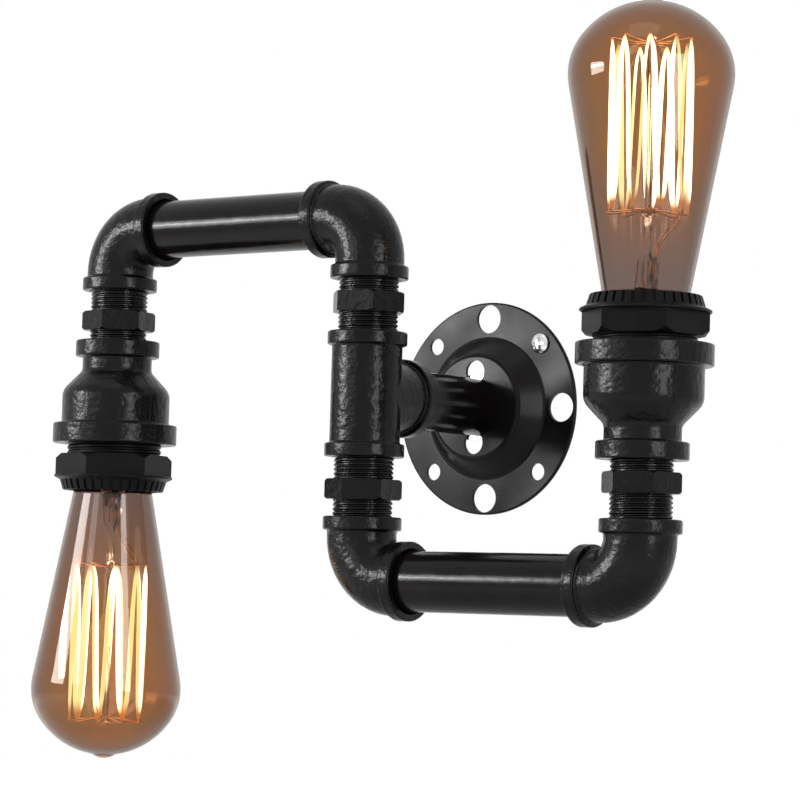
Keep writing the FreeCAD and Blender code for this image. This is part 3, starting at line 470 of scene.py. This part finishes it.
def threaded_holder(side):
    """A lampholder body whose male thread is cut, on the end away from the bulb."""
    node = side + "_lampholder_body"
    centre, half = middle_of(node)
    way = BULB_WAY[side]
    bm = merged_copy(node)
    move_skin(bm, centre, HOLDER_CREST, HOLDER_ROOT)
    ends = (centre.z - way * (half - HOLDER_END), centre.z + way * (half - HOLDER_HEX_H + THREAD_IN))
    wind_ridge(bm, centre, min(ends), max(ends), HOLDER_ROOT, HOLDER_CREST, HOLDER_PITCH, steps=48)
    bmesh.ops.recalc_face_normals(bm, faces=bm.faces)
    return finished(bm, node + "_cut", side + "_arm", "black_plastic", node, sharp=30)


for side in BULB_WAY:
    threaded_holder(side)

# %% [markdown]
# The reducers were cast in a mould of two halves. Where the halves met, a fin ran down the outside, and
# the fettler's wheel left a faint ridge of it. Two cuts by bisect_plane leave a narrow strip of the
# casting's own skin, a third cut marks its middle, and the middle is lifted along the skin's normals.
# So the ridge follows every band and fillet without an outline of its own.

# %% Casting seams
SEAM_W, SEAM_H, SEAM_SUNK = 0.9 * MM, 0.35 * MM, 0.05 * MM
SEAM_ANGLE = {"left": -8, "right": -28}
CUT_WITHIN, ON_PLANE, LEVEL = 1e-7, 1e-6, 0.98


def outwards(face, centre):
    """Above nought where a face looks away from the upright axis through centre."""
    out = face.calc_center_median() - centre
    return face.normal.x * out.x + face.normal.y * out.y


def casting_seam(side, angle):
    """The parting line of a reducer, in the upright plane at a world angle in degrees."""
    node = side + "_reducer"
    centre, half = middle_of(node)
    across = Vector((-sin(radians(angle)), cos(radians(angle)), 0))
    bm = merged_copy(node)
    for shift in (-SEAM_W / 2, SEAM_W / 2, 0):
        bmesh.ops.bisect_plane(bm, geom=bm.verts[:] + bm.edges[:] + bm.faces[:], dist=CUT_WITHIN,
                               plane_co=centre + across * shift, plane_no=across,
                               clear_inner=shift < 0, clear_outer=shift > 0)
    bm.normal_update()
    hidden = [face for face in bm.faces
              if abs(face.normal.z) > LEVEL or outwards(face, centre) < 0]
    bmesh.ops.delete(bm, geom=hidden, context="FACES")
    lifts = []
    for vert in bm.verts:
        middle = abs((vert.co - centre).dot(across)) < ON_PLANE
        lifts.append((vert, vert.normal * (SEAM_H if middle else -SEAM_SUNK)))
    for vert, lift in lifts:
        vert.co += lift
    return finished(bm, side + "_reducer_seam", side + "_arm", "painted_casting", sharp=80)


for side in BULB_WAY:
    casting_seam(side, SEAM_ANGLE[side])

# %% [markdown]
# A bulb's cap is brass strip rolled into a round thread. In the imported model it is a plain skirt. The
# thread is a wave that climbs as it goes round, so the skirt's outline is divided into many short steps
# and spun again, and each vertex of it then moves in by the depth of the wave at its angle and height.

# %% Rolled cap threads
CAP_R, CAP_WALL, CAP_PITCH, CAP_DEPTH = 13.1 * MM, 0.4 * MM, 3.63 * MM, 1.0 * MM
CAP_EDGE, CAP_TURN, CAP_HOLE = 0.4 * MM, 1.6 * MM, 2.0 * MM
CAP_PLAIN_TOP, CAP_PLAIN_LOW = 2.5 * MM, 2.0 * MM
CAP_STEPS, CAP_RINGS = 96, 42


def rolled_cap(side):
    """A screw cap with a rolled thread, turned in over its insulator."""
    node = side + "_bulb_cap"
    centre, half = middle_of(node)
    way = BULB_WAY[side]
    top, low = centre.z + way * half, centre.z - way * half
    axis = Vector((centre.x, centre.y, 0))
    bm = bmesh.new()
    outline = ((CAP_R - CAP_WALL, top), (CAP_R, top), (CAP_R, low + way * CAP_EDGE), (CAP_R - CAP_TURN, low),
               (CAP_R - CAP_HOLE, low + way * CAP_EDGE), (CAP_R - CAP_WALL, low + way * CAP_TURN))
    section = [bm.verts.new(axis + Vector((out, 0, at))) for out, at in outline]
    sides = [bm.edges.new((section[k], section[k - 1])) for k in range(len(section))]
    for k in (2, 0):
        bmesh.ops.subdivide_edges(bm, edges=[sides[k]], cuts=CAP_RINGS)
    bmesh.ops.spin(bm, geom=bm.verts[:] + bm.edges[:], cent=axis, axis=UP, angle=2 * pi, steps=CAP_STEPS,
                   use_merge=True)
    bmesh.ops.remove_doubles(bm, verts=bm.verts, dist=WELD)
    bmesh.ops.recalc_face_normals(bm, faces=bm.faces)
    for vert in bm.verts:
        out = from_axis(vert, axis)
        inside = min((top - vert.co.z) * way - CAP_PLAIN_TOP, (vert.co.z - low) * way - CAP_PLAIN_LOW)
        if inside > 0 and out.length > CAP_R - 1.5 * CAP_WALL:
            wave = cos(2 * pi * vert.co.z / CAP_PITCH - atan2(out.y, out.x))
            vert.co -= out.normalized() * (CAP_DEPTH * (1 - wave) / 2 * min(1, inside / CAP_PITCH))
    return finished(bm, node + "_rolled", side + "_bulb", "brass", node, sharp=50)


for side in BULB_WAY:
    rolled_cap(side)

# %% [markdown]
# Inside the bulb, the mount starts as a flared glass tube. Its end was heated and pinched flat over the
# wires, and a rod with two buttons stands on the pinch. The flare, the pinch and the rod are one
# outline, spun round, and the pinch is then squeezed: its vertices move towards a plane.

# %% Glass mounts
MOUNT_OUTLINE = ((0, -8.2), (9.6, -8.2), (11.4, -9.0), (11.6, -8.4), (9.4, -5.6), (6.4, -2.6), (4.7, 0.8),
                 (4.4, 3.6), (4.9, 6.0), (5.3, 9.0), (5.2, 12.4), (4.0, 14.2), (1.8, 15.6), (1.4, 18.0),
                 (1.4, 30.2), (2.2, 30.7), (2.6, 31.4), (2.6, 32.6), (2.2, 33.3), (1.4, 33.8), (1.4, 96.2),
                 (2.2, 96.7), (2.6, 97.4), (2.6, 98.6), (2.0, 99.4), (0, 99.5))
PINCH_LOW, PINCH_HIGH, PINCH_KEEP = 4.0, 16.5, 0.42
PINCH_RISE, PINCH_FALL = 4.0, 2.0


def mouth_of(side):
    """The middle of a lampholder's mouth, and the way that its bulb points."""
    centre, half = middle_of(side + "_lampholder_ring")
    way = BULB_WAY[side]
    return centre + UP * (way * half), way


def glass_mount(side):
    """The flared tube, the pinch and the rod with its buttons."""
    mouth, way = mouth_of(side)
    bm = bmesh.new()
    chain = [bm.verts.new(mouth + Vector((out * MM, 0, way * at * MM))) for out, at in MOUNT_OUTLINE]
    sides = [bm.edges.new(pair) for pair in zip(chain, chain[1:])]
    bmesh.ops.spin(bm, geom=chain + sides, cent=mouth, axis=UP, angle=2 * pi, steps=40, use_merge=True)
    bmesh.ops.remove_doubles(bm, verts=bm.verts, dist=WELD)
    bmesh.ops.recalc_face_normals(bm, faces=bm.faces)
    for vert in bm.verts:
        at = (vert.co.z - mouth.z) * way / MM
        closing = max(0, min(1, (at - PINCH_LOW) / PINCH_RISE))
        opening = max(0, min(1, (PINCH_HIGH - at) / PINCH_FALL))
        vert.co.y = mouth.y + (vert.co.y - mouth.y) * (1 - closing * opening * (1 - PINCH_KEEP))
    return finished(bm, side + "_glass_mount", side + "_bulb", "clear_glass", side + "_bulb_stem", sharp=60)


for side in BULB_WAY:
    glass_mount(side)

# %% [markdown]
# Tubes joined end to end would show their joints. A NURBS curve of order 3 rounds each turn of a wire by
# itself, with its bevel for the wire's thickness, and is then made a mesh.

# %% Wires on a curve
def wires(name, routes, thickness, body, slot, replaced=None, swell=None):
    """Round wires along routes of points, as one mesh; swell is a share of the thickness at each point."""
    curve = bpy.data.curves.new(name, "CURVE")
    curve.dimensions = "3D"
    curve.bevel_depth = thickness / 2
    curve.bevel_resolution = 2
    curve.use_fill_caps = True
    curve.resolution_u = 6
    for route in routes:
        spline = curve.splines.new("NURBS")
        spline.points.add(len(route) - 1)
        for point, place, share in zip(spline.points, route, swell or [1.0] * len(route)):
            point.co = (*place, 1)
            point.radius = share
        spline.order_u = 3
        spline.use_endpoint_u = True
    drawn = bpy.data.objects.new(name + "_route", curve)
    piece = bpy.data.objects.new(name, bpy.data.meshes.new_from_object(drawn))
    bpy.data.objects.remove(drawn)
    bpy.context.scene.collection.objects.link(piece)
    piece.data.materials.clear()
    return settle(piece, body, slot, replaced, sharp=60)


# %% [markdown]
# The cage is one long wire. It climbs from a hook at the foot to a hook at the top, turns over it and
# comes down again, nine times, so the strands run in pairs that close towards a point at each hook. A
# camera sees a white hot wire thicker than it is, so each strand swells between its turns, and some
# swell more than others.

# %% Squirrel cages
STRANDS, CAGE_R, CAGE_LOW, CAGE_TOP, STRAND_D = 18, 15.3, 32.0, 98.0, 1.30
TURN_H, TURN_SHIFT, STRAND_SHIFT = 9, 0.46, 0.13
GLARE_LEAST, GLARE_STEP, GLARE_AT_TURN = 0.95, 0.18, 0.6


def cage_point(side, out, strand, at):
    """A point of a bulb's cage: millimetres out, a strand's number round the cage, and a height."""
    mouth, way = mouth_of(side)
    angle = 2 * pi * (strand + 0.5) / STRANDS
    return mouth + Vector((out * cos(angle), way * out * sin(angle), way * at)) * MM


def squirrel_cage(side):
    """The glowing wire of one bulb, from its first strand to its last."""
    route, swell = [], []
    for strand in range(STRANDS):
        glare = GLARE_LEAST + GLARE_STEP * (strand * 5 % 7)
        swell += [GLARE_AT_TURN, glare, glare, GLARE_AT_TURN]
        climbing = strand % 2 == 0
        start, end = (CAGE_LOW, CAGE_TOP) if climbing else (CAGE_TOP, CAGE_LOW)
        inward = TURN_H if climbing else -TURN_H
        route.append(cage_point(side, CAGE_R, strand - TURN_SHIFT, start))
        route.append(cage_point(side, CAGE_R, strand - STRAND_SHIFT, start + inward))
        route.append(cage_point(side, CAGE_R, strand + STRAND_SHIFT, end - inward))
        route.append(cage_point(side, CAGE_R, strand + TURN_SHIFT, end))
    return wires(side + "_squirrel_cage", [route], STRAND_D * MM, side + "_bulb", "glowing_filament",
                 side + "_filament", swell)


for side in BULB_WAY:
    squirrel_cage(side)

# %% [markdown]
# Fine wires hold the cage. Each spoke starts in a button, bends towards the cage and ends in a small
# hook, and two leads come out of the pinch and carry the current to the first strand and the last. Four
# short copper wires lie side by side in the pinch, and the glass over them makes them sparkle. An outline
# gives millimetres out from the rod and up along it.

# %% Hooks and leads
SPOKE_D, LEAD_D, COPPER_D = 0.60, 0.60, 0.9
SPOKE_OUTLINE = ((1.6, -0.6), (5.0, -0.4), (11.0, 0.3), (14.2, 0.9), (15.9, 0.8), (16.1, -0.3), (15.0, -0.6))
LEAD_OUTLINE, LEAD_SHIFT = ((3.0, 8), (3.6, 15), (5.5, 20), (13.5, 28)), 0.40
COPPER_SPREAD, COPPER_DEPTH = (-3.3, -1.1, 1.1, 3.3), 0.35
COPPER_SHARES = ((0.8, 2.5), (1.0, 6.0), (1.1, 9.0), (1.0, 13.0))


def hooks_and_leads(side):
    """The spokes, the two leads and the copper in the pinch."""
    spokes = []
    pairs = STRANDS // 2
    for level, bend, first, count in ((CAGE_TOP, 1, 0.5, pairs), (CAGE_LOW, -1, 1.5, pairs - 1)):
        for strand in (first + 2 * k for k in range(count)):
            spokes.append([cage_point(side, out, strand, level + bend * rise) for out, rise in SPOKE_OUTLINE])
    wires(side + "_cage_hooks", spokes, SPOKE_D * MM, side + "_bulb", "support_wire",
          side + "_filament_supports")
    leads = []
    for strand, lean in ((0, 1), (STRANDS - 1, -1)):
        lead = [cage_point(side, out, strand, at) for out, at in LEAD_OUTLINE]
        leads.append(lead + [cage_point(side, CAGE_R, strand - LEAD_SHIFT * lean, CAGE_LOW)])
    wires(side + "_lead_wires", leads, LEAD_D * MM, side + "_bulb", "support_wire")
    mouth, way = mouth_of(side)
    copper = []
    for k, spread in enumerate(COPPER_SPREAD):
        depth = COPPER_DEPTH * (k % 2 * 2 - 1)
        copper.append([mouth + Vector((spread * share, depth, way * at)) * MM for share, at in COPPER_SHARES])
    wires(side + "_pinch_copper", copper, COPPER_D * MM, side + "_bulb", "support_wire")


for side in BULB_WAY:
    hooks_and_leads(side)

# %% [markdown]
# The camera stands where the photographer stood: in front, well to the right, a little below the light.
# The long lens and the small roll were found by fitting the bands, the flange and the pipes to the
# photograph.

# %% Camera
AIM = Vector((0.01736, -0.08612, -0.00248))
AZIMUTH, ELEVATION, ROLL = radians(36.98), radians(-3.7), radians(1.66)
DISTANCE = 1.2636
FRAME_PX, FOCAL_PX = 800, 3136.5

camera = bpy.data.objects.new("camera", bpy.data.cameras.new("camera"))
bpy.context.scene.collection.objects.link(camera)
bpy.context.scene.camera = camera
back = Vector((sin(AZIMUTH) * cos(ELEVATION), -cos(AZIMUTH) * cos(ELEVATION), sin(ELEVATION)))
camera.location = AIM + back * DISTANCE
camera.rotation_mode = "QUATERNION"
camera.rotation_quaternion = (-back).to_track_quat("-Z", "Y") @ Quaternion((0, 0, 1), ROLL)
camera.data.lens = FOCAL_PX / FRAME_PX * camera.data.sensor_width
camera.data.clip_start, camera.data.clip_end = 0.05, 20.0
print("lens: %.1f mm" % camera.data.lens)

# %% [markdown]
# Black gloss shows its lamps more than its colour. The photograph has two: a wide box far to the left,
# which draws the speckled band on every casting, and a tall box to the right, which draws the smooth
# one. The box on the left has a bright core, a thin strip that draws the line along each pipe. A weak box
# in front and another above open the parts that face them. The glow is how bright a lamp's face looks:
# pi times the area turns it into the lamp's power.

# %% Lamps
def softbox(name, angle, height, distance, width, tall, glow):
    """A lamp that faces the light's centre from a world angle and a height above the horizon."""
    data = bpy.data.lights.new(name, "AREA")
    data.shape, data.size, data.size_y = "RECTANGLE", width, tall
    data.energy = glow * pi * width * tall
    lamp = bpy.data.objects.new(name, data)
    bpy.context.scene.collection.objects.link(lamp)
    away = Vector((cos(radians(angle)) * cos(radians(height)), sin(radians(angle)) * cos(radians(height)),
                   sin(radians(height))))
    lamp.location = AIM + away * distance
    lamp.rotation_mode = "QUATERNION"
    lamp.rotation_quaternion = (-away).to_track_quat("-Z", "Y")
    print("%-12s at %s" % (name, [round(c, 2) for c in lamp.location]))
    return lamp


LAMP_AWAY, CORE_AWAY = 1.6, 1.59

softbox("key_left", -134, 10, LAMP_AWAY, 0.66, 0.46, 13.6)
softbox("key_core", -134, 10, CORE_AWAY, 0.60, 0.05, 74.0)
softbox("fill_front", -102, 12, LAMP_AWAY, 0.45, 0.46, 3.0)
softbox("tall_right", -18, 6, LAMP_AWAY, 0.42, 1.10, 8.8)
softbox("top", -70, 70, LAMP_AWAY, 0.80, 0.80, 0.8)

# %% [markdown]
# The background is white and the light is soft. If a white world lit the object fully, black paint would
# turn grey. So the world is white only for rays that come from the camera, off gloss or through glass,
# and gives a plain grey light to all others. The floor does the same with its emission, which is weak
# below the object, so that the shadow shows, and full further out, where the floor's own colour fades and
# floor and background become one.

# %% World and floor
WORLD_LIGHT, FLOOR_Z, FLOOR_COLOUR, FLOOR_GLOW = 0.30, -0.20, 0.80, 0.30
GLOW_FROM, GLOW_TO, FADE_FROM, FADE_TO = 0.20, 0.45, 0.30, 0.90
WHITE, BLACK = rgb(1, 1, 1), rgb(0, 0, 0)

world = bpy.data.worlds.new("studio")
bpy.context.scene.world = world
world.use_nodes = True
sky = Shades(world.node_tree)
sky_colour = sky.mix(sky.seen_straight(), rgb(WORLD_LIGHT, WORLD_LIGHT, WORLD_LIGHT), WHITE)
background = sky.node("ShaderNodeBackground", {}, {"Color": sky_colour})
sky.node("ShaderNodeOutputWorld", {}, {"Surface": background})
bpy.context.scene.view_settings.view_transform = "Standard"

bpy.ops.mesh.primitive_plane_add(size=30.0, location=(0, 0, FLOOR_Z))
floor = bpy.context.object
floor.name = "floor"
pale = Finish("pale_floor")
away = pale.node("ShaderNodeVectorMath", {"operation": "LENGTH"}, {0: pale.place}, "Value")
glowing = pale.mix(pale.ramp(away, GLOW_FROM, GLOW_TO), rgb(FLOOR_GLOW, FLOOR_GLOW, FLOOR_GLOW), WHITE)
colour = pale.mix(pale.ramp(away, FADE_FROM, FADE_TO), rgb(FLOOR_COLOUR, FLOOR_COLOUR, FLOOR_COLOUR), BLACK)
pale.surface(Base_Color=colour, Roughness=0.9, Specular_IOR_Level=0.0,
             Emission_Color=pale.mix(pale.seen_straight(), BLACK, glowing), Emission_Strength=1.0)
floor.data.materials.append(pale.material)
